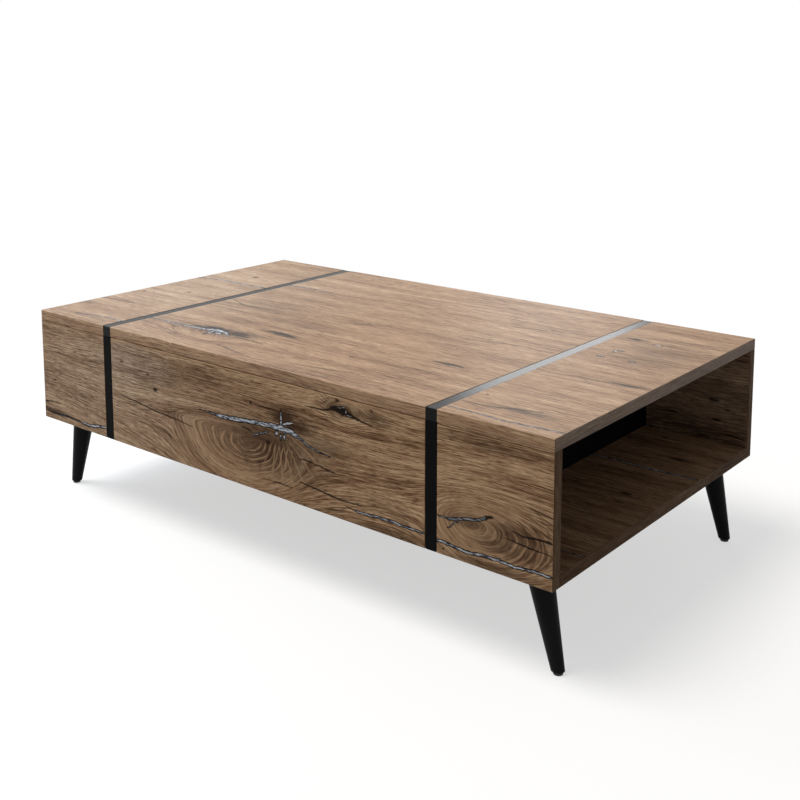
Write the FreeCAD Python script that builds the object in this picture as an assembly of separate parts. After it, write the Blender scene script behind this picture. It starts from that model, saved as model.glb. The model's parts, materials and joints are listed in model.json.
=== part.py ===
import FreeCAD, Part
import math
import os
from FreeCAD import Vector

# Coffee table with a drawer in each long side and an open shelf in each end.
# Millimetres. X runs along the table, the front faces -Y, and the floor is Z = 0.

# Overall sizes
table_length = 1150.0
table_depth = 657.0
table_height = 356.0
leg_height = 144.0
board = 19.0
edge_break = 0.8

# Black bands: a strip let into the top, and a stile below it in each long face
end_panel_length = 193.5
band_slot = 20.5
band_gap = 1.0
band_thickness = 2.0
band_recess = 0.4

# Tapered legs, splayed along the table
leg_inset_x = 53.0
leg_inset_y = 51.5
leg_splay = 34.0
leg_top_radius = 20.0
leg_foot_radius = 9.5
foot_chamfer = 2.0
glide_radius = 7.0
glide_height = 3.0

# Angled leg brackets and their hanger bolts
bracket_size = 58.0
bracket_thickness = 2.5
bracket_corner = 8.0
bracket_screw_inset = 8.0
boss_radius = 15.0
seat_gap = 0.7
bolt_radius = 4.0
bolt_in_boss = 5.0
bolt_in_leg = 32.0

# Dowels in the top edges of the end panels and dividers
dowel_radius = 4.0
dowel_in_top = 11.0
dowel_in_edge = 19.0
dowel_inset = 40.0

# Screws, each as head radius, head height, shank radius and length
bottom_screw = (5.0, 2.5, 3.0, 46.0)
bracket_screw = (4.0, 2.0, 2.0, 14.0)
rail_screw = (2.8, 1.2, 1.75, 10.0)
bottom_screw_inset = 70.0
partition_screw_x = 200.0

# Dowels, screws and axles are drawn with flat sides to keep them light
fastener_sides = 6

# Drawers
drawer_reveal = 1.0
push_gap = 3.0
drawer_side_thickness = 12.0
drawer_back_thickness = 12.0
drawer_bottom_thickness = 4.0
drawer_bottom_height = 10.0
drawer_head_gap = 33.0
joint_depth = 5.0
joint_fit = 0.1
drawer_edge_break = 0.5

# Roller runners
runner_thickness = 12.7
runner_lift = 18.0
sheet = 1.2
rail_setback = 2.0
drawer_rail_setback = 1.5
drawer_rail_end_gap = 18.5
rail_foot = 10.0
rail_lip = 4.0
rail_flange = 11.0
rail_top_flange = 8.0
track_clearance = 2.6
track_edge = 2.5
side_drop = 3.0
rail_screw_front = 60.0
rail_screw_rear = 30.0
roller_radius = 9.5
roller_width = 6.2
roller_offset = 3.0
roller_gap = 0.3
roller_play = 0.5
roller_end_gap = 2.0
axle_radius = 2.0
axle_head_radius = 2.8
axle_head = 0.6
axle_fit = 0.05

# Push latches on the centre partition
latch_width = 14.0
latch_length = 24.0
latch_bore_depth = 18.0
latch_flange_width = 46.0
latch_flange_thickness = 3.0
latch_screw_spacing = 32.0
latch_reach = 6.0
latch_gap = 3.0
plunger_radius = 4.0
plunger_fit = 0.2
plunger_guide = 12.0

# Levels and planes worked out from the sizes above
origin = Vector(0, 0, 0)
end_x = table_length / 2
front_y = -table_depth / 2
panel_back_y = front_y + board
underside_z = leg_height
floor_z = leg_height + board
ceiling_z = table_height - board
slot_outer_x = end_x - end_panel_length
slot_inner_x = slot_outer_x - band_slot
band_x = (slot_outer_x + slot_inner_x) / 2
band_half = band_slot / 2 - band_gap
band_groove = band_thickness + band_recess
divider_inner_x = band_x - board / 2
divider_outer_x = band_x + board / 2
partition_y = -board / 2

drawer_front_back_y = front_y + board - push_gap
drawer_back_y = partition_y - latch_length - latch_reach - latch_gap
drawer_side_outer_x = divider_inner_x - runner_thickness
drawer_side_inner_x = drawer_side_outer_x - drawer_side_thickness
runner_z = floor_z + runner_lift
drawer_low_z = runner_z + side_drop
drawer_high_z = ceiling_z - drawer_head_gap
drawer_bottom_z = drawer_low_z + drawer_bottom_height
drawer_bottom_top_z = drawer_bottom_z + drawer_bottom_thickness

rail_height = 2 * sheet + roller_gap + 2 * roller_radius + roller_play
track_z = runner_z + rail_height + track_clearance
front_roller_z = track_z - roller_gap - roller_radius
rear_roller_z = runner_z + sheet + roller_gap + roller_radius
rail_front_y = panel_back_y + rail_setback
drawer_rail_front_y = drawer_front_back_y + drawer_rail_setback
drawer_rail_back_y = drawer_back_y - drawer_rail_end_gap
rail_back_y = drawer_rail_back_y + rail_front_y - drawer_rail_front_y
front_roller_y = rail_front_y + roller_end_gap + roller_radius
rear_roller_y = drawer_rail_back_y - roller_end_gap - roller_radius
roller_far = roller_offset + roller_width

leg_top = Vector(end_x - leg_inset_x, front_y + leg_inset_y, underside_z)
leg_axis = Vector(leg_splay, 0, -leg_height)
leg_axis_length = leg_axis.Length
leg_axis.normalize()
leg_lean = math.atan2(leg_splay, leg_height)
leg_seat = (bracket_thickness + leg_top_radius * math.sin(leg_lean) + seat_gap) / math.cos(leg_lean)

SIDES = ("left", "right")
FACES = ("front", "rear")
nodes = {}


def mirrored(shape, side, face="front"):
    """A piece drawn at the front right, mirrored to another side or face of the table."""
    if side == "left":
        shape = shape.mirror(origin, Vector(1, 0, 0))
    if face == "rear":
        shape = shape.mirror(origin, Vector(0, 1, 0))
    return shape.copy()


def at_corners(shape):
    """Four copies of a piece, one at each corner of the table, as separate solids."""
    return Part.makeCompound([mirrored(shape, side, face) for side in SIDES for face in FACES])


def on_sides(shapes, face):
    """Copies of the pieces at the left and right of one face, as separate solids."""
    return Part.makeCompound([mirrored(shape, side, face) for side in SIDES for shape in shapes])


def box_between(low, high):
    """A plain block between two opposite corners."""
    size = [b - a for a, b in zip(low, high)]
    return Part.makeBox(*size, Vector(*low))


def panel(low, high, edge=edge_break):
    """A board with all its edges broken."""
    solid = box_between(low, high)
    return solid.makeChamfer(edge, solid.Edges)


def extruded(outline, front_y_at, back_y_at):
    """A straight rail from points given as distance from the divider and height above the runner's base."""
    points = [Vector(divider_inner_x - across, front_y_at, runner_z + up) for across, up in outline]
    face = Part.Face(Part.makePolygon(points + points[:1]))
    return face.extrude(Vector(0, back_y_at - front_y_at, 0))


def prism(radius, place, direction, length):
    """A flat-sided rod that starts at place."""
    turn = FreeCAD.Placement(place, FreeCAD.Rotation(Vector(0, 0, 1), direction))
    angles = [2 * math.pi * i / fastener_sides for i in range(fastener_sides)]
    points = [turn.multVec(Vector(radius * math.cos(a), radius * math.sin(a), 0)) for a in angles]
    return Part.Face(Part.makePolygon(points + points[:1])).extrude(direction * length)


def screw(sizes, place, direction):
    """A pan head screw, with the underside of its head at place. It fills its own hole."""
    head_radius, head_height, shank_radius, length = sizes
    head = prism(head_radius, place, direction * -1, head_height)
    return head.fuse(prism(shank_radius, place, direction, length)).removeSplitter()


UP = Vector(0, 0, 1)
OUTWARD = Vector(1, 0, 0)
INWARD = Vector(-1, 0, 0)
BACKWARD = Vector(0, 1, 0)
FORWARD = Vector(0, -1, 0)

# Dowels stand in the top edges of the end panels and dividers, glued into the underside of the top
end_panel_mid_y = (front_y + panel_back_y) / 2
dowel_places = [
    Vector(slot_outer_x + dowel_inset, end_panel_mid_y, ceiling_z),
    Vector(end_x - dowel_inset, end_panel_mid_y, ceiling_z),
    Vector(band_x, panel_back_y + dowel_inset, ceiling_z),
]


def dowel(place):
    """One dowel across the joint, which fills its own hole."""
    return prism(dowel_radius, place - Vector(0, 0, dowel_in_edge), UP, dowel_in_edge + dowel_in_top)


dowels = at_corners(Part.makeCompound([dowel(place) for place in dowel_places]))
nodes["carcass_dowels"] = dowels

# Screws up through the bottom panel into the dividers and the centre partition
bottom_screw_places = [
    Vector(band_x, panel_back_y + bottom_screw_inset, underside_z),
    Vector(band_x, -panel_back_y - bottom_screw_inset, underside_z),
    Vector(partition_screw_x, 0, underside_z),
]
bottom_screws = on_sides([screw(bottom_screw, place, UP) for place in bottom_screw_places], "front")
nodes["bottom_screws"] = bottom_screws

# Top panel: one board with a groove across it, and down both edges, for each band
top_panel = panel((-end_x, front_y, ceiling_z), (end_x, -front_y, table_height))
for side in SIDES:
    across_top = box_between(
        (slot_inner_x, front_y - board, table_height - band_groove),
        (slot_outer_x, -front_y + board, table_height + board),
    )
    down_front = box_between(
        (slot_inner_x, front_y - board, ceiling_z - board),
        (slot_outer_x, front_y + band_groove, table_height + board),
    )
    down_rear = mirrored(down_front, "right", "rear")
    for cut in (across_top, down_front, down_rear):
        top_panel = top_panel.cut(mirrored(cut, side))
nodes["top_panel"] = top_panel.cut(dowels)


def top_band():
    """The strip that lies in the top's groove and turns down over its front and rear edges."""
    outer = box_between(
        (band_x - band_half, front_y + band_recess, ceiling_z),
        (band_x + band_half, -front_y - band_recess, table_height - band_recess),
    )
    corners = [
        edge
        for edge in outer.Edges
        if edge.BoundBox.XLength > band_half and edge.BoundBox.ZMin > (ceiling_z + table_height) / 2
    ]
    inner = box_between(
        (slot_inner_x, front_y + band_groove, ceiling_z - board),
        (slot_outer_x, -front_y - band_groove, table_height - band_groove),
    )
    return outer.makeChamfer(edge_break, corners).cut(inner)


for side in SIDES:
    nodes[f"{side}_top_band"] = mirrored(top_band(), side)

# Fixed end panels and black stiles in the long faces
end_panel = panel((slot_outer_x, front_y, underside_z), (end_x, panel_back_y, ceiling_z))
stile = panel(
    (band_x - band_half, front_y + band_recess, underside_z),
    (band_x + band_half, panel_back_y, ceiling_z),
    band_recess,
)
for face in FACES:
    for side in SIDES:
        nodes[f"{face}_{side}_panel"] = mirrored(end_panel, side, face).cut(dowels)
        nodes[f"{face}_{side}_stile"] = mirrored(stile, side, face)


# Legs
def on_leg_axis(distance):
    """A point on the leg's axis, measured down from the underside of the body."""
    return leg_top + leg_axis * distance


def leg_radius(distance):
    """The leg's radius at a point of its axis."""
    return leg_top_radius + (leg_foot_radius - leg_top_radius) * distance / leg_axis_length


def leg():
    """A tapered leg, square to its own axis at the top and cut level at the foot."""
    end = leg_axis_length + leg_foot_radius
    cone = Part.makeCone(
        leg_radius(leg_seat), leg_radius(end), end - leg_seat, on_leg_axis(leg_seat), leg_axis
    )
    reach = leg_top_radius + leg_splay
    below = box_between(
        (leg_top.x - reach, leg_top.y - reach, -reach),
        (leg_top.x + 2 * reach, leg_top.y + reach, glide_height),
    )
    cone = cone.cut(below)
    rim = [edge for edge in cone.Edges if edge.BoundBox.ZMax < glide_height + foot_chamfer]
    return cone.makeChamfer(foot_chamfer, rim).cut(leg_bolt())


def leg_bracket():
    """A square plate under the body with a slanted boss that the leg screws up against."""
    half = bracket_size / 2
    low_z = underside_z - bracket_thickness
    plate = box_between(
        (leg_top.x - half, leg_top.y - half, low_z),
        (leg_top.x + half, leg_top.y + half, underside_z),
    )
    uprights = [edge for edge in plate.Edges if edge.BoundBox.ZLength > bracket_thickness / 2]
    plate = plate.makeChamfer(bracket_corner, uprights)
    boss = Part.makeCylinder(boss_radius, boss_radius + leg_seat, on_leg_axis(-boss_radius), leg_axis)
    above = box_between(
        (leg_top.x - bracket_size, leg_top.y - bracket_size, low_z),
        (leg_top.x + bracket_size, leg_top.y + bracket_size, low_z + bracket_size),
    )
    bracket = plate.fuse(boss.cut(above)).removeSplitter()
    return bracket.cut([leg_bolt(), bracket_screw_set()])


def bracket_screw_set():
    """The four screws near the corners of one bracket's plate."""
    reach = bracket_size / 2 - bracket_screw_inset
    low_z = underside_z - bracket_thickness
    places = [Vector(leg_top.x + i * reach, leg_top.y + j * reach, low_z) for i in (-1, 1) for j in (-1, 1)]
    return Part.makeCompound([screw(bracket_screw, place, UP) for place in places])


def leg_bolt():
    """The headless bolt that joins the leg to the boss and fills its own hole in both."""
    return prism(bolt_radius, on_leg_axis(leg_seat - bolt_in_boss), leg_axis, bolt_in_boss + bolt_in_leg)


def foot_glide():
    """A plastic pad under the foot."""
    foot = on_leg_axis(leg_axis_length * (1 - glide_height / leg_height))
    return Part.makeCylinder(glide_radius, glide_height, Vector(foot.x, foot.y, 0))


nodes["legs"] = at_corners(leg())
nodes["leg_brackets"] = at_corners(leg_bracket())
nodes["leg_bolts"] = at_corners(leg_bolt())
nodes["foot_glides"] = at_corners(foot_glide())
bracket_screws = at_corners(bracket_screw_set())
nodes["bracket_screws"] = bracket_screws

# Bottom panel, between the faces
bottom_panel = panel((-end_x, panel_back_y, underside_z), (end_x, -panel_back_y, floor_z))
nodes["bottom_panel"] = bottom_panel.cut(bottom_screws).cut(bracket_screws)


# Runners: a channel on the divider with a roller at its front,
# and an angle under the drawer's side with a roller at its back
def runner_point(across, y, z):
    """A point at a distance from the divider's face."""
    return Vector(divider_inner_x - across, y, z)


# The rail screws' heads clear the heads of the axles that pass them
cabinet_screw_z = rear_roller_z + axle_head_radius + rail_screw[0] + roller_gap
cabinet_screw_places = [
    runner_point(sheet, rail_front_y + rail_screw_front, cabinet_screw_z),
    runner_point(sheet, rail_back_y - rail_screw_rear, cabinet_screw_z),
]
cabinet_screws = [screw(rail_screw, place, OUTWARD) for place in cabinet_screw_places]
drawer_screw_z = track_z - rail_screw[0] - roller_gap - roller_play
drawer_screw_places = [
    runner_point(runner_thickness - sheet, drawer_rail_front_y + rail_screw_front, drawer_screw_z),
    runner_point(runner_thickness - sheet, drawer_rail_back_y - rail_screw_rear, drawer_screw_z),
]
drawer_screws = [screw(rail_screw, place, INWARD) for place in drawer_screw_places]


def cabinet_rail():
    """A channel with a lipped track below, and a top flange that stops short of the front roller."""
    outline = [
        (0, 0),
        (rail_flange, 0),
        (rail_flange, rail_lip),
        (rail_flange - sheet, rail_lip),
        (rail_flange - sheet, sheet),
        (sheet, sheet),
        (sheet, rail_height - sheet),
        (rail_top_flange, rail_height - sheet),
        (rail_top_flange, rail_height),
        (0, rail_height),
    ]
    rail = extruded(outline, rail_front_y, rail_back_y)
    notch = box_between(
        (divider_inner_x - runner_thickness, rail_front_y - sheet, runner_z + rail_height - 2 * sheet),
        (
            divider_inner_x - sheet,
            front_roller_y + roller_radius + roller_end_gap,
            runner_z + rail_height + sheet,
        ),
    )
    return rail.cut([notch] + cabinet_screws)


def drawer_rail():
    """An angle that holds the drawer's side from below, with a flange that runs on the front roller."""
    inner = runner_thickness - sheet
    top = rail_height + track_clearance + sheet
    outline = [
        (runner_thickness + rail_foot, side_drop),
        (runner_thickness, side_drop),
        (runner_thickness, top),
        (track_edge, top),
        (track_edge, top - sheet),
        (inner, top - sheet),
        (inner, side_drop - sheet),
        (runner_thickness + rail_foot, side_drop - sheet),
    ]
    return extruded(outline, drawer_rail_front_y, drawer_rail_back_y).cut(drawer_screws)


def roller(y, z):
    """A plastic roller on an axis across the table."""
    place = runner_point(roller_offset, y, z)
    bore = Part.makeCylinder(axle_radius + axle_fit, roller_width, place, INWARD)
    return Part.makeCylinder(roller_radius, roller_width, place, INWARD).cut(bore)


def axle(place, direction, length):
    """A riveted pin with a head at its free end."""
    pin = prism(axle_radius, place, direction, length)
    head = prism(axle_head_radius, place + direction * length, direction, axle_head)
    return pin.fuse(head).removeSplitter()


cabinet_axle = axle(
    runner_point(sheet, front_roller_y, front_roller_z), INWARD, roller_far + roller_gap - sheet
)
drawer_axle = axle(
    runner_point(runner_thickness - sheet, rear_roller_y, rear_roller_z),
    OUTWARD,
    runner_thickness - sheet - roller_offset + roller_gap,
)

for face in FACES:
    for side in SIDES:
        nodes[f"{face}_{side}_cabinet_rail"] = mirrored(cabinet_rail(), side, face)
        nodes[f"{face}_drawer_{side}_rail"] = mirrored(drawer_rail(), side, face)
    nodes[f"{face}_cabinet_rollers"] = on_sides([roller(front_roller_y, front_roller_z)], face)
    nodes[f"{face}_drawer_rollers"] = on_sides([roller(rear_roller_y, rear_roller_z)], face)
    nodes[f"{face}_drawer_axles"] = on_sides([drawer_axle], face)
    nodes[f"{face}_drawer_rail_screws"] = on_sides(drawer_screws, face)
nodes["cabinet_axles"] = at_corners(cabinet_axle)
nodes["cabinet_rail_screws"] = at_corners(Part.makeCompound(cabinet_screws))

# Drawer boxes: the sides are let into the front, the back into the sides, and a thin bottom into all three
side_front_y = drawer_front_back_y - joint_depth
back_front_y = drawer_back_y - drawer_back_thickness
bottom_half_x = drawer_side_inner_x + joint_depth


def drawer_bottom_groove():
    """The slot that the thin bottom slides into, cut through the sides and into the front."""
    return box_between(
        (-bottom_half_x - joint_fit, side_front_y - joint_fit, drawer_bottom_z),
        (bottom_half_x + joint_fit, drawer_back_y + joint_depth, drawer_bottom_top_z + joint_fit),
    )


def drawer_front():
    """The handleless front, grooved behind for the sides and the bottom."""
    front = panel(
        (-slot_inner_x, front_y, underside_z),
        (slot_inner_x, drawer_front_back_y, ceiling_z - drawer_reveal),
    )
    side_groove = box_between(
        (drawer_side_inner_x - joint_fit, side_front_y - joint_fit, drawer_low_z - joint_fit),
        (drawer_side_outer_x + joint_fit, drawer_front_back_y + joint_depth, drawer_high_z + joint_fit),
    )
    for side in SIDES:
        front = front.cut(mirrored(side_groove, side))
    return front.cut(drawer_bottom_groove())


def drawer_side():
    """One side board, grooved for the bottom and for the back."""
    side_board = panel(
        (drawer_side_inner_x, side_front_y, drawer_low_z),
        (drawer_side_outer_x, drawer_back_y + drawer_back_thickness / 2, drawer_high_z),
        drawer_edge_break,
    )
    back_groove = box_between(
        (drawer_side_inner_x - joint_depth, back_front_y - joint_fit, drawer_bottom_z),
        (bottom_half_x + joint_fit, drawer_back_y + joint_fit, drawer_high_z + joint_depth),
    )
    return side_board.cut([drawer_bottom_groove(), back_groove] + drawer_screws)


drawer_back = panel(
    (-bottom_half_x, back_front_y, drawer_bottom_top_z),
    (bottom_half_x, drawer_back_y, drawer_high_z),
    drawer_edge_break,
)
drawer_bottom = box_between(
    (-bottom_half_x, side_front_y, drawer_bottom_z),
    (bottom_half_x, drawer_back_y, drawer_bottom_top_z),
)
for face in FACES:
    nodes[f"{face}_drawer_front"] = mirrored(drawer_front(), "right", face)
    nodes[f"{face}_drawer_back"] = mirrored(drawer_back, "right", face)
    nodes[f"{face}_drawer_bottom"] = mirrored(drawer_bottom, "right", face)
    for side in SIDES:
        nodes[f"{face}_drawer_{side}_side"] = mirrored(drawer_side(), side, face)

# Push latches: a housing screwed to the partition, with a sprung plunger that faces the drawer's back
latch_z = (drawer_bottom_top_z + drawer_high_z) / 2
latch_front_y = partition_y - latch_length
latch_screw_places = [
    Vector(i * latch_screw_spacing / 2, partition_y - latch_flange_thickness, latch_z) for i in (-1, 1)
]
latch_screws = [screw(rail_screw, place, BACKWARD) for place in latch_screw_places]


def latch_housing():
    """A square body with a flange at the partition and a bore for the plunger."""
    half = latch_width / 2
    half_flange = latch_flange_width / 2
    body = box_between((-half, latch_front_y, latch_z - half), (half, partition_y, latch_z + half))
    flange = box_between(
        (-half_flange, partition_y - latch_flange_thickness, latch_z - half),
        (half_flange, partition_y, latch_z + half),
    )
    housing = body.fuse(flange).removeSplitter()
    bore_start = Vector(0, latch_front_y, latch_z)
    bore = Part.makeCylinder(plunger_radius + plunger_fit, latch_bore_depth, bore_start, BACKWARD)
    return housing.cut([bore] + latch_screws)


def latch_plunger():
    """The round plunger, part of it guided in the bore."""
    start = Vector(0, latch_front_y + plunger_guide, latch_z)
    return Part.makeCylinder(plunger_radius, latch_reach + plunger_guide, start, FORWARD)


for face in FACES:
    nodes[f"{face}_latch_housing"] = mirrored(latch_housing(), "right", face)
    nodes[f"{face}_latch_plunger"] = mirrored(latch_plunger(), "right", face)
both_latch_screws = Part.makeCompound(
    [mirrored(piece, "right", face) for face in FACES for piece in latch_screws]
)
nodes["latch_screws"] = both_latch_screws

# Dividers behind the bands, and the partition that parts the two drawer spaces
divider = panel((divider_inner_x, panel_back_y, floor_z), (divider_outer_x, -panel_back_y, ceiling_z))
divider_hardware = [dowels, bottom_screws, nodes["cabinet_rail_screws"]]
for side in SIDES:
    nodes[f"{side}_divider"] = mirrored(divider, side).cut(divider_hardware)
partition = panel((-divider_inner_x, partition_y, floor_z), (divider_inner_x, -partition_y, ceiling_z))
nodes["center_partition"] = partition.cut([bottom_screws, both_latch_screws])

os.makedirs("parts", exist_ok=True)
for name, shape in nodes.items():
    shape.exportStep(f"parts/{name}.step")
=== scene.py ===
"""Looks of the coffee table.

Oak decor with filled cracks, satin black bands and legs, and the hidden hardware.
"""

import json
import math

import bpy
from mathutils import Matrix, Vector


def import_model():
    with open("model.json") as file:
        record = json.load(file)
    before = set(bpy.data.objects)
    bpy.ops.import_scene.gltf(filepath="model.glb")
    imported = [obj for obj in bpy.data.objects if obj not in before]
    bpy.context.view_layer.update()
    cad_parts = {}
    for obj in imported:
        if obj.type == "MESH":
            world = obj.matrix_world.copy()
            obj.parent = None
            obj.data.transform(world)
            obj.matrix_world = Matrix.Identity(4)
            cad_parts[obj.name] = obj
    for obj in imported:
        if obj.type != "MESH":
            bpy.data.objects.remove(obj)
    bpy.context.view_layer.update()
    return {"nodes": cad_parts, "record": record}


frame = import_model()

# Millimetres in a metre
MILLIMETRES = 1000.0

# Places in millimetres, in the part's own frame.
# The spans are where cracks may lie across upright and level boards.
HALF_LENGTH = 575.0
TOP_UNDERSIDE = 337.0
BAND_MIDDLE = 371.0
UPRIGHT_SPAN = (140.0, 360.0)
LEVEL_SPAN = (-330.0, 330.0)

# A surface faces an axis where its normal has more than this along it
FACE_TURN = 0.6

FULL_TURN = 2 * math.pi

# Camera: metres, degrees and millimetres of lens and sensor
CAMERA_PLACE = (1.327, -1.571, 0.868)
CAMERA_TURN = 39.17
CAMERA_TILT = 7.87
CAMERA_LENS = 51.84
CAMERA_SHIFT = -0.25
SENSOR = 36.0


def linear(red, green, blue):
    """A colour written as 0 to 255, in the linear form that shaders take."""
    parts = [value / 255 for value in (red, green, blue)]
    return tuple(p / 12.92 if p <= 0.04045 else ((p + 0.055) / 1.055) ** 2.4 for p in parts) + (1.0,)


class Field:
    """A number or colour that varies over a surface. Arithmetic on it adds nodes to its tree."""

    def __init__(self, nodes, socket):
        self.nodes = nodes
        self.socket = socket

    def __add__(self, other):
        return self.nodes.math("ADD", self, other)

    def __sub__(self, other):
        return self.nodes.math("SUBTRACT", self, other)

    def __rsub__(self, other):
        return self.nodes.math("SUBTRACT", other, self)

    def __mul__(self, other):
        return self.nodes.math("MULTIPLY", self, other)

    def __truediv__(self, other):
        return self.nodes.math("DIVIDE", self, other)

    def __rtruediv__(self, other):
        return self.nodes.math("DIVIDE", other, self)

    def __abs__(self):
        return self.nodes.math("ABSOLUTE", self)

    def power(self, exponent):
        return self.nodes.math("POWER", self, exponent)

    def above(self, limit):
        return self.nodes.math("GREATER_THAN", self, limit)

    def larger(self, other):
        return self.nodes.math("MAXIMUM", self, other)


class Nodes:
    """Short calls that add nodes to a tree."""

    def __init__(self, tree):
        self.tree = tree

    def node(self, kind, **settings):
        made = self.tree.nodes.new(kind)
        for key, value in settings.items():
            setattr(made, key, value)
        return made

    def feed(self, socket, value):
        """Links a field to a socket, or sets the socket to a constant."""
        if isinstance(value, Field):
            self.tree.links.new(value.socket, socket)
        else:
            socket.default_value = value

    def math(self, operation, *values):
        made = self.node("ShaderNodeMath", operation=operation)
        for socket, value in zip(made.inputs, values):
            self.feed(socket, value)
        return Field(self, made.outputs[0])

    def rise(self, value, low, high, start=0.0, end=1.0):
        """A smooth step from start at low to end at high. Low may be the larger one."""
        if low > high:
            low, high, start, end = high, low, end, start
        made = self.node("ShaderNodeMapRange", interpolation_type="SMOOTHSTEP")
        for socket, item in zip(made.inputs, (value, low, high, start, end)):
            self.feed(socket, item)
        return Field(self, made.outputs[0])

    def vector(self, *parts):
        made = self.node("ShaderNodeCombineXYZ")
        for socket, part in zip(made.inputs, parts):
            self.feed(socket, part)
        return Field(self, made.outputs[0])

    def split(self, socket):
        made = self.node("ShaderNodeSeparateXYZ")
        self.tree.links.new(socket, made.inputs[0])
        return [Field(self, out) for out in made.outputs]

    def noise(self, along, across, seed, detail=2.0, rough=0.5):
        made = self.node("ShaderNodeTexNoise")
        self.feed(made.inputs["Vector"], self.vector(along, across, seed))
        made.inputs["Scale"].default_value = 1.0
        made.inputs["Detail"].default_value = detail
        made.inputs["Roughness"].default_value = rough
        return Field(self, made.outputs[0])

    def mix(self, amount, first, second):
        """A colour between two colours."""
        made = self.node("ShaderNodeMix", data_type="RGBA")
        for name, value in (("Factor_Float", amount), ("A_Color", first), ("B_Color", second)):
            self.feed(next(s for s in made.inputs if s.identifier == name), value)
        return Field(self, next(s for s in made.outputs if s.identifier == "Result_Color"))

    def ramp(self, value, stops):
        made = self.node("ShaderNodeValToRGB")
        elements = made.color_ramp.elements
        while len(elements) < len(stops):
            elements.new(0.5)
        for element, (position, colour) in zip(elements, stops):
            element.position = position
            element.color = colour
        self.feed(made.inputs[0], value)
        return Field(self, made.outputs[0])

    def rays(self, *kinds):
        """1 on rays of the named kinds, such as Camera or Glossy, and 0 on others."""
        path = self.node("ShaderNodeLightPath")
        fields = [Field(self, path.outputs[f"Is {kind} Ray"]) for kind in kinds]
        either = fields[0]
        for field in fields[1:]:
            either = either.larger(field)
        return either


class Look(Nodes):
    """A material."""

    def __init__(self, name):
        self.material = bpy.data.materials.new(name)
        self.material.use_nodes = True
        super().__init__(self.material.node_tree)
        self.surface = self.tree.nodes["Principled BSDF"]

    def place(self):
        """The point on the surface, in millimetres in the part's frame."""
        coordinates = self.node("ShaderNodeTexCoord")
        scaled = self.node("ShaderNodeVectorMath", operation="SCALE")
        scaled.inputs["Scale"].default_value = MILLIMETRES
        self.tree.links.new(coordinates.outputs["Object"], scaled.inputs[0])
        return self.split(scaled.outputs[0])

    def cells(self, size_x, size_y, size_z, seed):
        """Noise with cells of a size along each axis, in millimetres."""
        x, y, z = self.place()
        return self.noise(x / size_x, y / size_y + z / size_z, seed)

    def facing(self):
        """How far the surface faces along X, Y and Z."""
        coordinates = self.node("ShaderNodeTexCoord")
        return [abs(part) for part in self.split(coordinates.outputs["Normal"])]

    def bump(self, height, distance, strength):
        """Small relief, with its distance in metres."""
        made = self.node("ShaderNodeBump")
        made.inputs["Strength"].default_value = strength
        made.inputs["Distance"].default_value = distance
        self.feed(made.inputs["Height"], height)
        self.tree.links.new(made.outputs[0], self.surface.inputs["Normal"])

    def finish(self, colour, roughness, metallic=0.0, gloss=0.5):
        self.feed(self.surface.inputs["Base Color"], colour)
        self.feed(self.surface.inputs["Roughness"], roughness)
        self.surface.inputs["Metallic"].default_value = metallic
        self.surface.inputs["Specular IOR Level"].default_value = gloss
        return self.material


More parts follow.
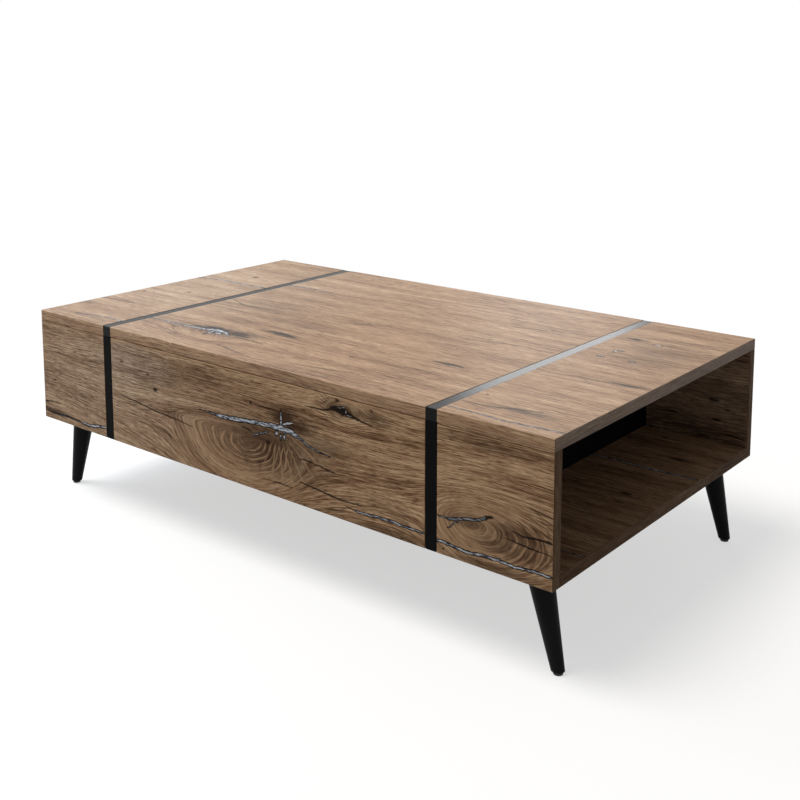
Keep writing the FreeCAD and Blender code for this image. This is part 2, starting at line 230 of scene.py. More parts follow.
# Oak decor: places on each face, in millimetres along and across the grain.
# A stroke is how much of it is filled with silver, and points with a half width.
# Spots are dark knots and flecks are silver ones, each with two half sizes.
# Shades are soft brown patches, one of them on the top a painted shadow. The greyer, paler patches are
# painted cool light and sheen towards the left ends, partly a paler wood tone; each has a strength.
# Rings are growth rings round a knot, with a stretch along the grain, a squash above the knot, a lean
# that draws them out to one side, a reach, a spacing and a strength.
# Spokes are short dark lines that fan out from a knot, and whiskers are pale ones, with an inner and an
# outer reach, their number in a full turn, the direction that they keep to and a strength.
FRONT = {
    "tracks": [
        [
            (0.0, [(-574, 176, 1.2), (-549, 179, 1.0), (-522, 180, 0.4)]),
            (0.0, [(-335, 235, 0.5), (-288, 230, 0.9), (-238, 224, 0.9), (-190, 222, 0.8), (-143, 217, 0.5)]),
            (0.3, [(-121, 252, 0.4), (-97, 252, 1.2), (-80, 251, 1.8)]),
            (1.0, [(-76, 251, 2.0), (-63, 251, 2.6), (-33, 253, 3.2), (6, 257, 3.0), (45, 260, 3.2)]),
            (1.0, [(49, 260, 3.6), (66, 260, 4.8), (93, 260, 4.4), (106, 256, 3.2)]),
            (0.35, [(110, 255, 3.0), (130, 245, 1.8), (156, 240, 1.2), (176, 238, 0.4)]),
            (0.3, [(383, 201, 1.0), (394, 201, 1.2), (402, 201, 1.6)]),
            (0.5, [(406, 201, 2.0), (421, 205, 2.0), (436, 209, 1.6), (452, 212, 2.0), (463, 217, 2.0)]),
            (0.0, [(467, 219, 3.2), (475, 223, 2.2)]),
            (0.0, [(512, 212, 0.4), (529, 209, 1.0), (554, 212, 1.4), (574, 212, 2.0)]),
        ],
        [
            (0.1, [(-574, 159, 1.2), (-549, 158, 1.6), (-525, 158, 2.2), (-504, 159, 1.6), (-462, 157, 1.4)]),
            (1.0, [(-450, 156, 1.5), (-429, 156, 2.0), (-406, 160, 2.0), (-383, 162, 1.8)]),
            (0.0, [(28, 167, 0.5), (60, 169, 0.8), (93, 168, 0.5)]),
            (0.0, [(212, 167, 0.6), (226, 166, 0.9)]),
            (0.9, [(233, 165, 1.1), (263, 167, 1.3), (300, 168, 1.4), (323, 167, 1.4), (360, 167, 0.8)]),
            (0.9, [(383, 163, 1.4), (394, 164, 1.8), (410, 162, 1.5), (434, 160, 1.7), (462, 163, 1.6)]),
            (0.9, [(470, 163, 1.6), (487, 164, 1.7), (512, 162, 1.6), (546, 165, 1.4), (574, 165, 1.4)]),
        ],
        [
            (0.0, [(-15, 244, 0.8), (3, 242, 0.8)]),
            (0.6, [(8, 235, 0.8), (20, 240, 1.3), (38, 247, 1.0)]),
            (1.0, [(73, 267, 1.5), (85, 271, 2.6), (96, 274, 1.4)]),
            (0.0, [(113, 182, 0.6), (150, 179, 1.1), (194, 175, 1.1), (239, 176, 0.6)]),
            (0.4, [(403, 187, 0.5), (409, 193, 1.3), (415, 200, 1.0)]),
            (0.0, [(501, 199, 0.4), (522, 197, 0.8), (551, 195, 0.9), (574, 194, 0.9)]),
        ],
        [
            (0.0, [(128, 309, 0.4), (142, 309, 0.8), (160, 310, 1.0), (174, 312, 1.4)]),
            (0.0, [(179, 316, 2.6), (188, 317, 4.4), (198, 317, 5.4), (206, 317, 5.6)]),
            (0.0, [(210, 315, 4.8), (215, 313, 3.8), (223, 311, 2.8), (240, 308, 1.2), (260, 305, 0.5)]),
        ],
        [
            (0.0, [(110, 220, 0.4), (137, 220, 1.1), (160, 217, 1.1), (186, 214, 0.6)]),
        ],
    ],
    "spots": [
        (-538, 224, 6, 2),
        (-331, 297, 6, 1.8),
        (-257, 287, 6, 1.6),
        (-238, 263, 7, 4.5),
        (3, 289, 4, 3),
        (42, 231, 5, 4),
        (192, 331, 5, 3),
        (394, 154, 3, 2),
    ],
    "flecks": [
        (72, 275, 1.8, 13),
        (62, 250, 3.0, 4.0),
        (71, 246, 2.0, 5.0),
        (79, 247, 2.0, 4.0),
        (196, 320, 6.0, 0.6),
        (204, 322, 4.5, 0.7),
        (210, 316, 1.0, 3.0),
        (216, 311, 6.0, 0.6),
    ],
    "shades": [
        (-540, 162, 60, 9, 0.6),
        (50, 225, 180, 70, 0.8),
        (78, 280, 56, 24, 0.95),
        (106, 270, 58, 24, 0.9),
        (0, 315, 170, 34, 0.16),
        (160, 250, 90, 26, 0.5),
        (275, 184, 120, 22, 0.18),
        (200, 317, 50, 16, 0.85),
        (255, 318, 60, 15, 0.5),
        (440, 205, 60, 16, 0.6),
        (470, 322, 120, 13, 0.45),
        (505, 184, 95, 24, 0.65),
        (520, 205, 75, 26, 0.75),
        (480, 150, 120, 10, 0.6),
        (300, 150, 110, 10, 0.6),
    ],
    "pale_tone_and_painted_cool_light": [(-310, 295, 190, 75, 1.0), (-420, 250, 460, 220, 0.55)],
    "rings": [
        (3, 227, 1.6, 4.5, 0.26, 90, 8.2, 0.85),
        (438, 204, 1.6, 1.6, -0.34, 52, 6.4, 0.75),
        (205, 317, 2.2, 1.0, 0.0, 16, 5.5, 0.0),
    ],
    "spokes": [(212, 304, 30, 78, 64, (-0.8, 0.6), 0.75), (70, 256, 12, 34, 26, (0.1, -1.0), 0.7)],
    "whiskers": [(66, 266, 40, 118, 25, (0.42, -0.91), 0.5)],
}

TOP = {
    "tracks": [
        [
            (0.8, [(-504, -299, 0.6), (-453, -293, 1.3), (-425, -287, 1.3), (-384, -288, 1.4)]),
            (1.0, [(-361, -235, 0.6), (-308, -234, 1.3), (-267, -235, 1.9), (-220, -230, 3.6)]),
            (1.0, [(-215, -228, 4.2), (-197, -222, 5.4), (-171, -222, 3.4), (-150, -236, 1.6)]),
            (0.0, [(-134, -234, 0.7), (-63, -238, 1.0)]),
            (0.0, [(5, -319, 0.4), (83, -325, 0.7), (157, -314, 0.4)]),
            (0.0, [(383, -273, 0.9), (430, -273, 1.5), (467, -258, 1.9), (503, -249, 2.6)]),
        ],
        [
            (1.0, [(-574, 66, 0.8), (-516, 80, 1.6), (-455, 78, 1.9), (-406, 80, 1.7), (-384, 80, 1.3)]),
            (0.8, [(-358, 133, 1.6), (-300, 137, 1.3), (-240, 134, 0.6)]),
            (0.5, [(383, -306, 0.9), (432, -307, 1.4), (485, -311, 1.6), (532, -306, 1.7), (572, -302, 1.5)]),
        ],
        [
            (0.0, [(-567, -186, 0.9), (-481, -182, 0.9)]),
            (0.0, [(-359, -91, 0.5), (-300, -94, 0.9), (-231, -98, 0.5)]),
            (0.0, [(-135, -172, 0.6), (-100, -168, 1.6), (-70, -170, 2.4), (-44, -172, 0.6)]),
            (0.0, [(233, -138, 0.9), (260, -134, 2.6), (288, -138, 1.6)]),
            (0.0, [(438, -68, 0.7), (500, -62, 1.0), (550, -58, 2.0)]),
        ],
        [
            (0.0, [(-410, -34, 0.7), (-384, -32, 0.8)]),
            (0.0, [(-358, -32, 0.8), (-305, -54, 0.7), (-237, -49, 0.7)]),
            (0.0, [(180, 126, 0.7), (300, 155, 0.8), (358, 165, 0.6)]),
            (0.0, [(394, 203, 0.8), (480, 220, 0.7), (560, 236, 0.7)]),
        ],
        [
            (0.0, [(-119, -288, 0.5), (-72, -298, 0.9), (-25, -307, 0.5)]),
            (0.0, [(61, -293, 0.5), (122, -282, 0.9), (184, -270, 0.5)]),
        ],
    ],
    "spots": [
        (-555, -96, 8, 4),
        (-476, -46, 8, 4),
        (-476, 143, 10, 6),
        (-232, -222, 34, 4),
        (-200, -212, 40, 5),
        (-146, -224, 44, 6),
        (-106, -166, 12, 4),
        (-86, -168, 20, 7),
        (-62, -173, 14, 5),
        (109, -201, 7, 3),
        (397, -227, 4, 3),
        (418, 191, 11, 6),
    ],
    "flecks": [
        (422, 60, 6, 2.4),
        (427, 101, 2, 7),
        (434, 108, 5, 2),
        (465, 179, 7, 2),
        (480, 60, 5, 2.2),
        (-192, -240, 3, 12),
        (-176, -236, 9, 4),
    ],
    "shades": [
        (-205, -232, 120, 34, 0.7),
        (-196, -218, 76, 24, 0.95),
        (-140, -214, 60, 20, 0.95),
        (-250, -40, 120, 70, 0.25),
        # Painted shadow: a darker band across the middle of the top, as if cast by something standing on it
        (-100, -105, 120, 20, 0.35),
        (-80, -170, 60, 12, 0.8),
        (500, 130, 100, 120, 0.32),
        (262, -136, 45, 9, 0.8),
        (418, 191, 42, 12, 0.7),
        (480, -262, 80, 15, 0.7),
        (540, -60, 40, 9, 0.7),
    ],
    "pale_tone_and_painted_cool_light": [(-520, 40, 560, 520, 0.7)],
    "rings": [(-190, -230, 1.6, 1.6, 0.0, 40, 8.0, 0.4)],
    "spokes": [],
    "whiskers": [(-190, -222, 16, 66, 30, (0.1, -1.0), 0.8)],
}

SHELF = {
    "tracks": [
        [
            (1.0, [(-569, -96, 1.2), (-500, -100, 1.6), (-381, -93, 1.0)]),
            (1.0, [(381, 115, 1.6), (429, 118, 2.0), (482, 115, 2.4), (519, 116, 2.2), (569, 119, 1.8)]),
        ],
        [
            (0.7, [(540, -246, 1.0), (572, -242, 1.4)]),
        ],
    ],
    "spots": [
        (-520, -200, 8, 4),
        (-470, 150, 10, 6),
        (439, 273, 7, 3),
        (506, 184, 18, 5),
        (509, -5, 13, 5),
        (518, -42, 12, 3),
    ],
    "flecks": [],
    "shades": [(506, 184, 40, 16, 0.4), (509, -10, 50, 18, 0.4)],
    "pale_tone_and_painted_cool_light": [],
    "rings": [],
    "spokes": [],
    "whiskers": [],
}


def turned_round(layout):
    """The same places mirrored along the grain, for the face behind."""
    made = {}
    made["tracks"] = [
        [(silver, [(-u, v, w) for u, v, w in reversed(points)]) for silver, points in reversed(strokes)]
        for strokes in layout["tracks"]
    ]
    for key in ("spots", "flecks", "shades", "pale_tone_and_painted_cool_light"):
        made[key] = [(-u, *others) for u, *others in layout[key]]
    made["rings"] = [
        (-u, v, stretch, squash, -lean, *others)
        for u, v, stretch, squash, lean, *others in layout["rings"]
    ]
    for key in ("spokes", "whiskers"):
        made[key] = [
            (-u, *reach, (-side_u, side_v), strength)
            for u, *reach, (side_u, side_v), strength in layout[key]
        ]
    return made


REAR = turned_round(FRONT)
REAR["spots"] += [(434, 201, 12, 2.5), (512, 238, 12, 4), (517, 203, 13, 3)]

# Tones of the decor, from the darkest grain to the palest
OAK_TONES = [
    (0.0, linear(84, 58, 41)),
    (0.28, linear(120, 91, 67)),
    (0.52, linear(151, 119, 92)),
    (0.76, linear(176, 144, 112)),
    (1.0, linear(200, 170, 136)),
]
# Greyer, paler tones for the patches of painted cool light and sheen
PAINTED_COOL_LIGHT_TONES = [
    (0.0, linear(102, 84, 70)),
    (0.28, linear(138, 116, 98)),
    (0.52, linear(160, 135, 114)),
    (0.76, linear(184, 160, 138)),
    (1.0, linear(206, 186, 164)),
]
CRACK_DARK = linear(24, 18, 15)
KNOT_BROWN = linear(50, 32, 22)
SILVER_DIM = linear(92, 96, 105)
SILVER = linear(204, 208, 216)
# Pale growth ring lines, also the colour of the painted highlight under the top
PALE_RING_AND_HIGHLIGHT = linear(176, 142, 110)
# Board ends: partly a darker edge band, partly painted shade of the end faces turned from the light
END_TONE_AND_PAINTED_SHADE = linear(58, 41, 28)

# Noises in the wood: length and width of their cells in millimetres, a seed offset, detail and roughness.
# Those of the first table lie straight on the board, and those of the second follow the bent grain.
BOARD_NOISES = {
    "drift": (420.0, 160.0, 0.0, 1.0, 0.5),
    "ring_wobble": (80.0, 46.0, 3.0, 1.0, 0.5),
    "ring_breaks": (30.0, 16.0, 6.0, 2.0, 0.5),
    "fan_wobble": (34.0, 34.0, 7.0, 1.0, 0.5),
    "waver": (260.0, 70.0, 15.0, 2.0, 0.5),
    "ragged": (14.0, 7.0, 70.0, 2.0, 0.5),
    "jag": (9.0, 30.0, 80.0, 2.0, 0.7),
    "swell": (6.0, 20.0, 90.0, 1.0, 0.5),
    "fade": (40.0, 30.0, 95.0, 2.0, 0.5),
    "patchy": (11.0, 2.6, 100.0, 2.0, 0.5),
}
GRAIN_NOISES = {
    "broad": (300.0, 34.0, 10.0, 2.0, 0.5),
    "band": (420.0, 13.0, 17.0, 2.0, 0.5),
    "streak": (190.0, 2.4, 20.0, 3.0, 0.7),
    "fibre": (36.0, 1.6, 30.0, 2.0, 0.75),
    "veins": (280.0, 24.0, 40.0, 2.0, 0.55),
    "where": (150.0, 50.0, 50.0, 1.0, 0.5),
    "pores": (16.0, 1.3, 60.0, 1.0, 0.5),
}
NOISE_MIDDLE = 0.5

# Below, a pair gives the values at which something starts to show and shows fully.

# Plain wood: the drift of the grain in millimetres, and the weights of what makes its tone
DRIFT = 34.0
TONE_WEIGHTS = {"broad": 0.9, "band": 0.7, "streak": 1.3, "fibre": 2.2}
TONE_MIDDLE = 0.5

# Thin dark growth lines, which come and go
GROWTH_SPACING = 8.0
GROWTH_WAVER = 5.0
GROWTH_LINE = (0.5, 1.0)
GROWTH_WHERE = (0.4, 0.62)
GROWTH_DARK = 0.24

# Growth rings: how they wobble, break off and fade, and how much they calm the wood there
RING_WOBBLE = 2.4
RING_BREAKS = (0.36, 0.58)
RING_BROKEN = 0.25
RING_RIM = (1.1, 0.7)
RING_ABOVE = (20.0, -8.0)
RING_MIDDLE = (6.0, 20.0)
RING_SHARPNESS = 6.0
RING_CALM = 0.5

# Fans of lines round the knots
FAN_WOBBLE = 2.6
FAN_FULL = 0.95
FAN_INNER = 0.7
FAN_OUTER = 0.6
FAN_SIDE = (0.45, 0.8)
SPOKE_THIN = 0.1
WHISKER_THIN = 0.72

# Soft patches
PATCH_RAGGED = 0.7
PATCH_RIM = (1.1, 0.1)

# Veins and pores
VEIN_LINE = (0.012, 0.0)
VEIN_WHERE = (0.5, 0.66)
VEIN_DARK = 0.7
PORE_SHOWN = (0.56, 0.7)
PORE_DARK = 0.56

# Cracks: widths in millimetres, and the silver filler
WIDEST = 8.0
STROKE_END = 4.0
LEAST_WIDTH = 0.12
JAG = 4.0
OUTLINE = 0.8
OUTLINE_SOFT = (0.0, 1.0)
SILVER_SOFT = (0.0, 0.7)
CRACK_FADE = (0.3, 0.5)
CRACK_FAINT = 0.6
CRACK_SHARE = 0.94
FILLER_GAPS = (0.3, 0.42)
FILLER_BRIGHT = (0.4, 0.65)

# Knots
SPOT_RAGGED = 0.9
SPOT_RIM = (1.15, 0.5)
SPOT_DARK = 0.9
FLECK_RAGGED = 0.8
FLECK_OUTLINE = (1.7, 1.2)
FLECK_RIM = (1.0, 0.7)

# Board ends, darker partly as an edge band and partly as painted shade; and the rim, a painted highlight, and
# the joint under the top, in millimetres below it
END_TONE_AND_SHADE_SHARE = 0.7
PAINTED_HIGHLIGHT_BELOW = (5.0, 3.2)
PAINTED_HIGHLIGHT_SHARE = 0.45
JOINT_BELOW = (2.8, 1.6)
JOINT_SHARE = 0.85

# Relief and roughness of the decor
FIBRE_RELIEF = 0.4
STREAK_RELIEF = 0.3
PORE_RELIEF = 0.2
RELIEF_DISTANCE = 0.0003
RELIEF_STRENGTH = 0.14
OAK_ROUGHNESS = 0.56
PALE_SMOOTHER = -0.1


def largest(fields):
    """The largest of several fields at each point."""
    made = fields[0]
    for field in fields[1:]:
        made = made.larger(field)
    return made


def distance(du, dv):
    return (du * du + dv * dv).power(0.5)


def track_rows(strokes):
    """The points of a track of strokes: place along, place across, half width and silver."""
    rows = [(-HALF_LENGTH, strokes[0][1][0][1], 0.0, strokes[0][0])]
    for silver, points in strokes:
        first, last = points[0], points[-1]
        joins = abs(first[0] - rows[-1][0]) <= 2 * STROKE_END
        if joins:
            rows.pop()
        else:
            rows.append((first[0] - STROKE_END, first[1], 0.0, silver))
        rows.extend((u, v, w, silver) for u, v, w in points)
        rows.append((last[0] + STROKE_END, last[1], 0.0, silver))
    rows.append((HALF_LENGTH, rows[-1][1], 0.0, rows[-1][3]))
    return rows


class Oak(Look):
    """Oak decor on boards whose wide faces look along Y or Z, with the grain along X."""

    def __init__(self, name, main, layout, seed):
        super().__init__(name)
        self.layout = layout
        self.seed = seed
        upright = main == "y"
        x, y, z = self.place()
        face_x, face_y, face_z = self.facing()
        wide, deep, turned = (z, y, face_z) if upright else (y, z, face_y)
        self.on_end = face_x.above(FACE_TURN)
        on_edge = self.on_end.larger(turned.above(FACE_TURN))
        self.on_face = 1.0 - on_edge
        self.along = x + self.on_end * (wide - x)
        self.across = wide + on_edge * (deep - wide)
        self.low, self.high = UPRIGHT_SPAN if upright else LEVEL_SPAN
        self.grain = self.across
        self.ragged = self.figure("ragged") - NOISE_MIDDLE

    def figure(self, kind):
        """One of the noises in the wood."""
        bent = kind in GRAIN_NOISES
        length, width, offset, detail, rough = (GRAIN_NOISES if bent else BOARD_NOISES)[kind]
        across = self.grain if bent else self.across
        return self.noise(self.along / length, across / width, self.seed + offset, detail, rough)

    def ellipse(self, u, v, half_u, half_v):
        """The distance from a place on the board, where 1 is the rim of an ellipse round it."""
        return distance((self.along - u) / half_u, (self.across - v) / half_v)

    def bend_grain(self):
        """Leads the grain round the knots. Gives their pale growth rings, and how calm the wood is there."""
        wobble = self.figure("ring_wobble") * RING_WOBBLE
        unbroken = self.rise(self.figure("ring_breaks"), *RING_BREAKS, RING_BROKEN)
        grain = self.across
        ring_lines, calm = [], []
        for u, v, stretch, squash, lean, reach, spacing, strength in self.layout["rings"]:
            du = (self.along - u) / stretch
            dv = self.across - v
            upward = dv + dv.larger(0.0) * (squash - 1.0)
            radius = distance(du, upward) + du * lean
            share = self.math("MINIMUM", (reach / radius).power(2.0), 1.0)
            inside = (reach - radius).larger(0.0)
            grain = grain + (inside - dv * share) * self.on_face
            lines = self.math("SINE", (radius / spacing + wobble) * FULL_TURN) * 0.5 + 0.5
            near = self.rise(radius, *(reach * part for part in RING_RIM)) * strength
            calm.append(near * self.on_face)
            shown = near * self.rise(upward, *RING_ABOVE) * self.rise(radius, *RING_MIDDLE)
            ring_lines.append(lines.power(RING_SHARPNESS) * shown * unbroken)
        self.grain = grain + (self.figure("drift") - NOISE_MIDDLE) * DRIFT
        return ring_lines, calm

    def fan_lines(self, fans, thin):
        """Lines that fan out from knots, finer where thin is nearer to 1."""
        wobble = self.figure("fan_wobble") * FAN_WOBBLE
        made = []
        for u, v, inner, outer, count, (side_u, side_v), strength in fans:
            du, dv = self.along - u, self.across - v
            radius = distance(du, dv)
            angle = self.math("ARCTAN2", dv, du)
            lines = self.rise(self.math("SINE", angle * count + wobble), thin, FAN_FULL)
            reach = self.rise(radius, inner * FAN_INNER, inner) * self.rise(radius, outer, outer * FAN_OUTER)
            side = self.rise((du * side_u + dv * side_v) / radius, *FAN_SIDE)
            made.append(lines * reach * side * strength)
        return made

    def soft_patches(self, patches):
        """Patches with a ragged soft rim."""
        made = []
        for *place, strength in patches:
            rim = self.ellipse(*place) + self.ragged * PATCH_RAGGED
            made.append(self.rise(rim, *PATCH_RIM) * strength)
        return made

    def track_curves(self, strokes):
        """The middle, half width and silver of a track of strokes, read from curves along the grain."""
        rows = track_rows(strokes)
        low, span = self.low, self.high - self.low
        columns = (
            [(row[1] - low) / span for row in rows],
            [row[2] / WIDEST for row in rows],
            [row[3] for row in rows],
        )
        made = self.node("ShaderNodeRGBCurve")
        for curve, column in zip(made.mapping.curves, columns):
            spots = [((row[0] + HALF_LENGTH) / (2 * HALF_LENGTH), y) for row, y in zip(rows, column)]
            spots = [spot for spot in spots if 0.0 <= spot[0] <= 1.0]
            curve.points[0].location = (0.0, spots[0][1])
            curve.points[1].location = (1.0, spots[-1][1])
            for x, y in spots[1:-1]:
                curve.points.new(x, y)
            for point in curve.points:
                point.handle_type = "VECTOR"
        made.mapping.update()
        self.feed(made.inputs["Color"], (self.along + HALF_LENGTH) / (2 * HALF_LENGTH))
        parts = self.node("ShaderNodeSeparateColor")
        self.tree.links.new(made.outputs[0], parts.inputs[0])
        middle, width, silver = [Field(self, out) for out in parts.outputs]
        return middle * span + low, width * WIDEST, silver

    def plain_tone(self, parts, where, calm):
        """How pale the plain wood is: bands, streaks, fibres and thin dark growth lines that come and go."""
        waver = self.figure("waver") * GROWTH_WAVER
        growth = self.math("SINE", (self.grain / GROWTH_SPACING + waver) * FULL_TURN)
        growth = self.rise(growth, *GROWTH_LINE) * self.rise(where, *GROWTH_WHERE)
        tone = growth * -GROWTH_DARK
        for kind, weight in TONE_WEIGHTS.items():
            tone = tone + parts[kind] * weight
        if calm:
            tone = tone * (1.0 - largest(calm) * RING_CALM)
        return tone

    def with_pale_tone_and_painted_cool_light(self, tone):
        """The colour of the plain wood, with its greyer, paler patches: painted cool light and sheen, partly
        a paler tone.
        """
        colour = self.ramp(tone, OAK_TONES)
        pale_tone_and_painted_cool_light = self.soft_patches(self.layout["pale_tone_and_painted_cool_light"])
        if pale_tone_and_painted_cool_light:
            colour = self.mix(largest(pale_tone_and_painted_cool_light) * self.on_face, colour, self.ramp(tone, PAINTED_COOL_LIGHT_TONES))
        return colour

    def with_veins(self, colour, where, pores, contrast):
        """Fine dark veins, and short open pores."""
        veins = self.rise(abs(self.figure("veins") - NOISE_MIDDLE), *VEIN_LINE)
        veins = veins * self.rise(where, *VEIN_WHERE)
        return self.mix((veins * VEIN_DARK).larger(pores * (PORE_DARK * contrast)), colour, KNOT_BROWN)

    def with_knots(self, colour, ring_lines):
        """Soft brown patches, and rings and fans of lines round the knots."""
        shades = self.fan_lines(self.layout["spokes"], SPOKE_THIN)
        shades += self.soft_patches(self.layout["shades"])
        colour = self.mix(largest(shades) * self.on_face, colour, KNOT_BROWN)
        pale = ring_lines + self.fan_lines(self.layout["whiskers"], WHISKER_THIN)
        if pale:
            colour = self.mix(largest(pale) * self.on_face, colour, PALE_RING_AND_HIGHLIGHT)
        return colour

    def cracks(self):
        """Where cracks and knots are dark, and where some of them are filled with silver."""
        dark, silver = [], []
        jag = (self.figure("jag") - NOISE_MIDDLE) * JAG
        swell = self.figure("swell") + NOISE_MIDDLE
        fade = self.rise(self.figure("fade"), *CRACK_FADE, CRACK_FAINT)
        for strokes in self.layout["tracks"]:
            middle, width, filled = self.track_curves(strokes)
            width = width * swell
            away = abs(self.across - middle + jag)
            outline = self.rise(width + filled * OUTLINE + OUTLINE - away, *OUTLINE_SOFT)
            dark.append(outline * width.above(LEAST_WIDTH) * (fade + filled))
            silver.append(self.rise(width - away, *SILVER_SOFT) * filled)
        for place in self.layout["spots"]:
            rim = self.ellipse(*place) + self.ragged * SPOT_RAGGED
            dark.append(self.rise(rim, *SPOT_RIM) * SPOT_DARK)
        for place in self.layout["flecks"]:
            rim = self.ellipse(*place) + self.ragged * FLECK_RAGGED
            dark.append(self.rise(rim, *FLECK_OUTLINE))
            silver.append(self.rise(rim, *FLECK_RIM))
        return largest(dark) * self.on_face, largest(silver) * self.on_face

    def with_cracks(self, colour, dark, silver):
        """Dark cracks and knots, with patchy silver filler in some of them."""
        patchy = self.figure("patchy")
        filler = self.mix(self.rise(patchy, *FILLER_BRIGHT), SILVER_DIM, SILVER)
        colour = self.mix(dark * CRACK_SHARE, colour, CRACK_DARK)
        return self.mix(silver * self.rise(patchy, *FILLER_GAPS), colour, filler)

    def with_painted_highlight_and_joint(self, colour):
        """A pale rim under the top on upright boards, a painted highlight of the board's edge, and a dark
        joint line there on the end panels.
        """
        below = TOP_UNDERSIDE - self.across
        # Painted highlight: a pale line just under the top
        rim = self.rise(below, *PAINTED_HIGHLIGHT_BELOW) * self.on_face
        colour = self.mix(rim * PAINTED_HIGHLIGHT_SHARE, colour, PALE_RING_AND_HIGHLIGHT)
        joint = self.rise(below, *JOINT_BELOW) * abs(self.along).above(BAND_MIDDLE) * self.on_face
        return self.mix(joint * JOINT_SHARE, colour, CRACK_DARK)


def oak(name, main, layout, seed, lift_and_painted_light=0.0, contrast=1.0, gloss=0.02):
    """Oak decor for boards whose wide faces look along Y or Z. The lift makes it paler, and below zero
    darker; on the front and rear boards it is partly painted light and painted shade.
    """
    wood = Oak(name, main, layout, seed)
    ring_lines, calm = wood.bend_grain()
    parts = {kind: wood.figure(kind) - NOISE_MIDDLE for kind in TONE_WEIGHTS}
    where = wood.figure("where")
    pores = wood.rise(wood.figure("pores"), *PORE_SHOWN)
    tone = wood.plain_tone(parts, where, calm) * contrast + (TONE_MIDDLE + lift_and_painted_light)

    colour = wood.with_pale_tone_and_painted_cool_light(tone)
    colour = wood.with_veins(colour, where, pores, contrast)
    colour = wood.with_knots(colour, ring_lines)
    dark, silver = wood.cracks()
    colour = wood.with_cracks(colour, dark, silver)
    # Painted shade: the board ends darker, partly as an edge band
    colour = wood.mix(wood.on_end * END_TONE_AND_SHADE_SHARE, colour, END_TONE_AND_PAINTED_SHADE)
    if main == "y":
        colour = wood.with_painted_highlight_and_joint(colour)

    relief = parts["fibre"] * FIBRE_RELIEF + parts["streak"] * STREAK_RELIEF - dark - pores * PORE_RELIEF
    wood.bump(relief, RELIEF_DISTANCE, RELIEF_STRENGTH)
    return wood.finish(colour, tone * PALE_SMOOTHER + OAK_ROUGHNESS, gloss=gloss)


def dimmed(level, share):
    return tuple(value * share for value in level[:3]) + (1.0,)


def satin_black(name, level, roughness, seed, gloss, relief=0.05):
    """Black lacquer or laminate with a faint fine texture."""
    look = Look(name)
    fine = look.cells(1.6, 1.6, 1.6, seed)
    cloud = look.cells(60.0, 60.0, 45.0, seed + 5.0)
    colour = look.mix(fine * 0.6 + cloud * 0.4, dimmed(level, 0.7), level)
    look.bump(fine, distance=0.00005, strength=relief)
    spread = relief * 2.4
    return look.finish(colour, cloud * spread + (roughness - spread / 2), gloss=gloss)


def foil(name, level, seed, weave=2.4):
    """Graphite foil on the drawer boards, with a fine linen weave, in radians in each millimetre."""
    look = Look(name)
    x, y, z = look.place()
    cross = look.math("SINE", (x + y) * weave) * look.math("SINE", (z + y) * weave)
    cloud = look.cells(40.0, 40.0, 40.0, seed)
    colour = look.mix(cross * 0.2 + cloud * 0.6, dimmed(level, 0.7), level)
    look.bump(cross, distance=0.00015, strength=0.15)
    return look.finish(colour, cloud * 0.1 + 0.5)


def metal(name, level, roughness, seed, metallic=1.0):
    """Plated or coated steel with faint rolling lines along the rails."""
    look = Look(name)
    lines = look.cells(2.0, 60.0, 2.0, seed)
    colour = look.mix(lines, dimmed(level, 0.8), level)
    look.bump(lines, distance=0.00008, strength=0.15)
    return look.finish(colour, lines * 0.16 + (roughness - 0.08), metallic)


def moulded(name, level, roughness, seed):
    """Moulded plastic with a fine spark texture."""
    look = Look(name)
    grain = look.cells(0.7, 0.7, 0.7, seed)
    colour = look.mix(grain * 0.5, level, dimmed(level, 0.8))
    look.bump(grain, distance=0.0001, strength=0.2)
    return look.finish(colour, grain * 0.1 + (roughness - 0.05))


def beech(name, seed):
    """Plain beech dowel."""
    look = Look(name)
    grain = look.cells(1.2, 1.2, 30.0, seed)
    colour = look.mix(grain, linear(190, 150, 108), linear(214, 178, 138))
    look.bump(grain, distance=0.0001, strength=0.2)
    return look.finish(colour, grain * 0.1 + 0.55)


# Materials on the CAD pieces
node_looks = {
    "top_panel": oak("oak_top", "z", TOP, seed=3.0, lift_and_painted_light=0.05, contrast=0.75, gloss=0.2),
    "bottom_panel": oak("oak_shelf", "z", SHELF, seed=17.0),
}
# The front boards are lifted more as painted light; the rear boards are darker as painted shade on their
# inner faces in the open compartments.
for face, layout, seed, lift_and_painted_light in (("front", FRONT, 5.0, 0.08), ("rear", REAR, 11.0, -0.04)):
    material = oak(f"oak_{face}", "y", layout, seed, lift_and_painted_light=lift_and_painted_light)
    for node in (f"{face}_left_panel", f"{face}_drawer_front", f"{face}_right_panel"):
        node_looks[node] = material

coated = metal("coated_steel", linear(26, 26, 28), roughness=0.5, seed=47.0, metallic=0.2)
node_looks["leg_brackets"] = coated
node_looks["bracket_screws"] = coated

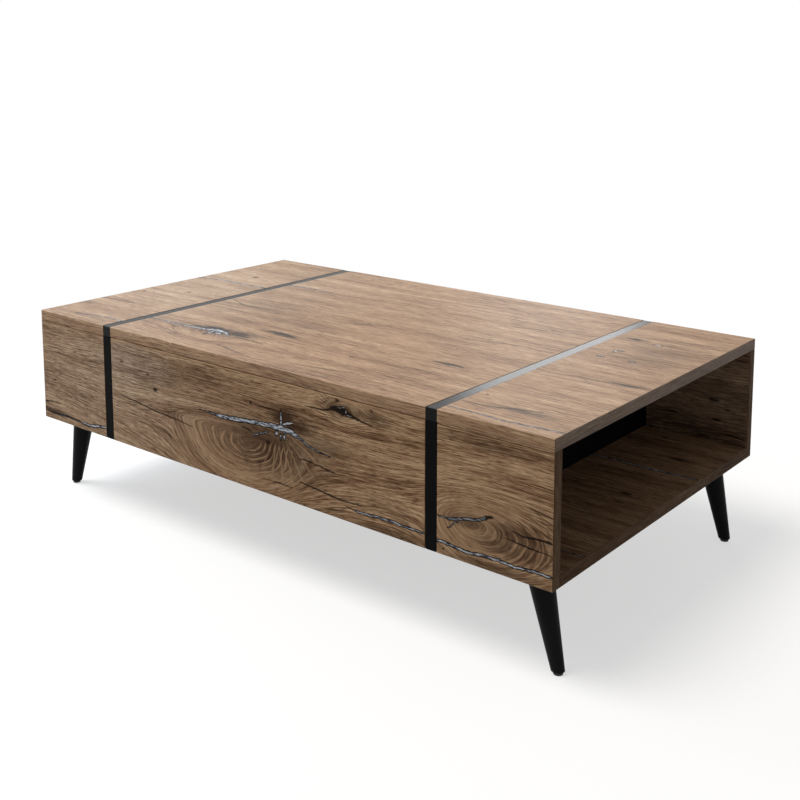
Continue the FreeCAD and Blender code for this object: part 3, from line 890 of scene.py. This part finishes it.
slot_looks = {
    "black_board": satin_black("board_black", linear(12, 12, 13), roughness=0.55, seed=21.0, gloss=0.02),
    "black_band": satin_black(
        "band_black", linear(14, 14, 15), roughness=0.26, seed=23.0, gloss=0.09, relief=0.005
    ),
    "black_stile": satin_black("stile_black", linear(12, 12, 13), roughness=0.5, seed=25.0, gloss=0.03),
    "black_leg": satin_black("leg_black", linear(31, 31, 34), roughness=0.42, seed=27.0, gloss=0.04),
    "zinc_steel": metal("zinc", linear(196, 198, 202), roughness=0.36, seed=31.0),
    "runner_steel": metal("runner", linear(92, 94, 97), roughness=0.42, seed=33.0, metallic=0.6),
    "roller_plastic": moulded("nylon", linear(222, 220, 212), roughness=0.4, seed=35.0),
    "latch_plastic": moulded("latch_grey", linear(138, 140, 143), roughness=0.45, seed=37.0),
    "glide_plastic": moulded("glide_black", linear(32, 32, 33), roughness=0.5, seed=39.0),
    "dowel_wood": beech("beech", seed=41.0),
    "drawer_board": foil("drawer_foil", linear(70, 71, 73), seed=43.0),
    "drawer_bottom_board": foil("bottom_foil", linear(78, 79, 81), seed=45.0),
}

for part in frame["record"]["subparts"]:
    node = frame["nodes"][part["node"]]
    look = node_looks.get(part["node"]) or slot_looks[part["material_slot"]]
    for slot in node.material_slots:
        slot.material = look


# Stage: a pale floor that keeps a light shadow and runs into a white background, in metres
FLOOR_SIZE = 30.0
FLOOR_WHITE = linear(250, 250, 250)
FLOOR_BOUNCE = linear(140, 140, 140)
FLOOR_ROUGHNESS = 0.9
FLOOR_GLOW = 0.6
FADE_FROM = 0.9
FADE_TO = 1.9


def floor():
    """A wide floor, white where it is seen, that fades into the background away from the table."""
    bpy.ops.mesh.primitive_plane_add(size=FLOOR_SIZE, location=(0, 0, 0))
    made = bpy.context.object
    made.name = "floor"
    look = Look("floor")
    x, y, _ = look.place()
    away = distance(x, y) / MILLIMETRES
    seen = look.rays("Camera", "Glossy", "Transmission")
    look.finish(look.mix(seen, FLOOR_BOUNCE, FLOOR_WHITE), FLOOR_ROUGHNESS, gloss=0.0)
    white = look.node("ShaderNodeEmission")
    blend = look.node("ShaderNodeMixShader")
    look.feed(blend.inputs[0], look.rise(away, FADE_FROM, FADE_TO, FLOOR_GLOW, 1.0) * seen)
    look.tree.links.new(look.surface.outputs[0], blend.inputs[1])
    look.tree.links.new(white.outputs[0], blend.inputs[2])
    look.tree.links.new(blend.outputs[0], look.tree.nodes["Material Output"].inputs["Surface"])
    made.data.materials.append(look.material)


WORLD_LEFT = 0.36
WORLD_RIGHT = 0.16


def world():
    """White where it is seen, and dimmer, more so from the right, where it lights the table."""
    made = bpy.data.worlds.new("studio")
    made.use_nodes = True
    nodes = Nodes(made.node_tree)
    background = nodes.tree.nodes["Background"]
    background.inputs["Color"].default_value = (1.0, 1.0, 1.0, 1.0)
    coordinates = nodes.node("ShaderNodeTexCoord")
    x, _, _ = nodes.split(coordinates.outputs["Generated"])
    soft = nodes.rise(x, -1.0, 1.0, WORLD_LEFT, WORLD_RIGHT)
    seen = nodes.rays("Camera", "Glossy", "Transmission")
    nodes.feed(background.inputs["Strength"], soft + seen * (1.0 - soft))
    bpy.context.scene.world = made


def lamp(name, kind, power, colour, direction, place=(0.0, 0.0, 2.0)):
    """A light that shines along a direction."""
    data = bpy.data.lights.new(name, kind)
    data.energy = power
    data.color = colour
    made = bpy.data.objects.new(name, data)
    made.location = place
    made.rotation_mode = "QUATERNION"
    made.rotation_quaternion = Vector(direction).to_track_quat("-Z", "Y")
    made.visible_camera = False
    bpy.context.scene.collection.objects.link(made)
    return data


def softbox(name, power, colour, size, place, target):
    """A soft light with a width and a height that faces a target."""
    data = lamp(name, "AREA", power, colour, Vector(target) - Vector(place), place)
    data.shape = "RECTANGLE"
    data.size, data.size_y = size


def camera():
    """The photograph's viewing angle."""
    data = bpy.data.cameras.new("camera")
    data.sensor_width = SENSOR
    data.lens = CAMERA_LENS
    data.shift_y = CAMERA_SHIFT
    made = bpy.data.objects.new("camera", data)
    made.location = CAMERA_PLACE
    made.rotation_euler = (math.radians(90 - CAMERA_TILT), 0, math.radians(CAMERA_TURN))
    bpy.context.scene.collection.objects.link(made)
    bpy.context.scene.camera = made


NEUTRAL = (1.0, 1.0, 1.0)
WARM = (1.0, 0.965, 0.91)
COOL = (0.74, 0.87, 1.0)

SUN_POWER = 2.5
SUN_DIRECTION = (0.30, 0.33, -0.895)
SUN_SPREAD = 30

# Name, watts, colour, width and height, place and target
SOFTBOXES = [
    ("left_softbox", 14.0, COOL, (1.0, 1.0), (-1.6, -0.7, 1.25), (-0.3, 0.0, 0.3)),
    ("far_softbox", 3.0, COOL, (0.6, 0.6), (-1.0, 0.15, 1.1), (-0.5, 0.0, 0.3)),
    ("right_softbox", 1.0, NEUTRAL, (0.8, 0.8), (2.2, 0.2, 0.8), (0.55, 0.0, 0.25)),
    ("rear_softbox", 8.0, NEUTRAL, (1.2, 0.4), (-0.9, 2.15, 1.04), (0.4, 2.15, 0.4)),
]

floor()
world()
sun = lamp("key", "SUN", SUN_POWER, WARM, SUN_DIRECTION)
sun.angle = math.radians(SUN_SPREAD)
for settings in SOFTBOXES:
    softbox(*settings)
camera()
bpy.context.scene.view_settings.view_transform = "Standard"
